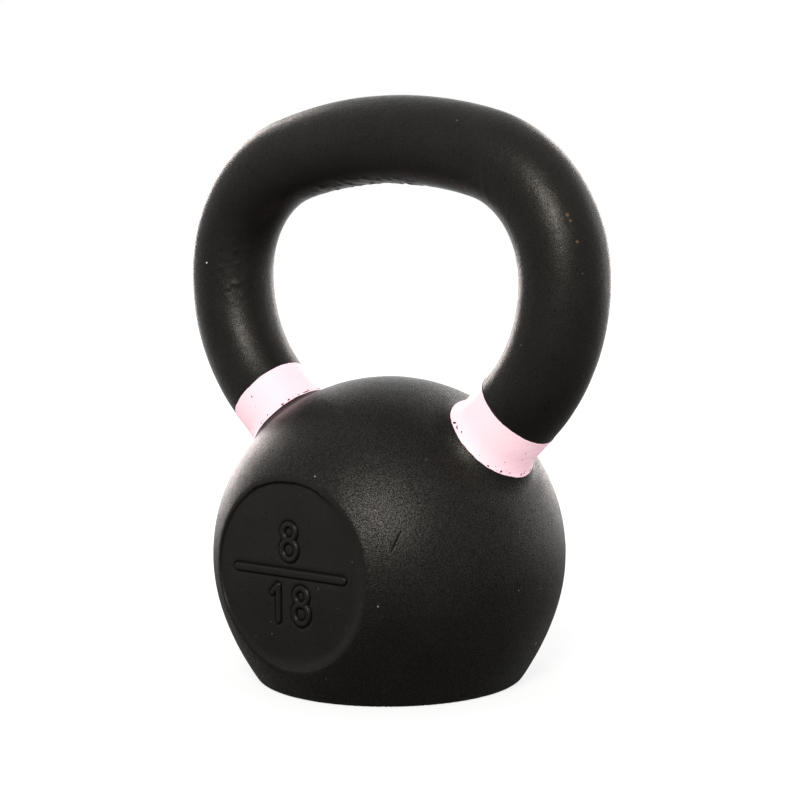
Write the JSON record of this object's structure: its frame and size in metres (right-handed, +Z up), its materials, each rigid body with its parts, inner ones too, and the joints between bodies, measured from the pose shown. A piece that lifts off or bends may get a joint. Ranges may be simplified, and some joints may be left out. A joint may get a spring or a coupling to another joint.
{
  "type": "kettlebell",
  "caption": "Cast-iron kettlebell with a round grip loop, flat base and side faces, black textured powder coat and pink colour-code bands.",
  "frame": {"origin": "centre of the flat base, on the surface it stands on", "axes": "+Z up; the grip loop lies in the XZ plane; the face with the weight marking looks along -Y"},
  "size_m": [0.1762, 0.1044, 0.2018],
  "materials": {
    "iron": "ground, matt",
    "coat": "fine-textured powder coat, satin",
    "band": "brushed-on enamel, satin"
  },
  "bodies": {
    "root": {"iron_casting": "iron", "bell_coat": "coat", "handle_coat": "coat", "left_band": "band", "right_band": "band"}
  },
  "joints": []
}
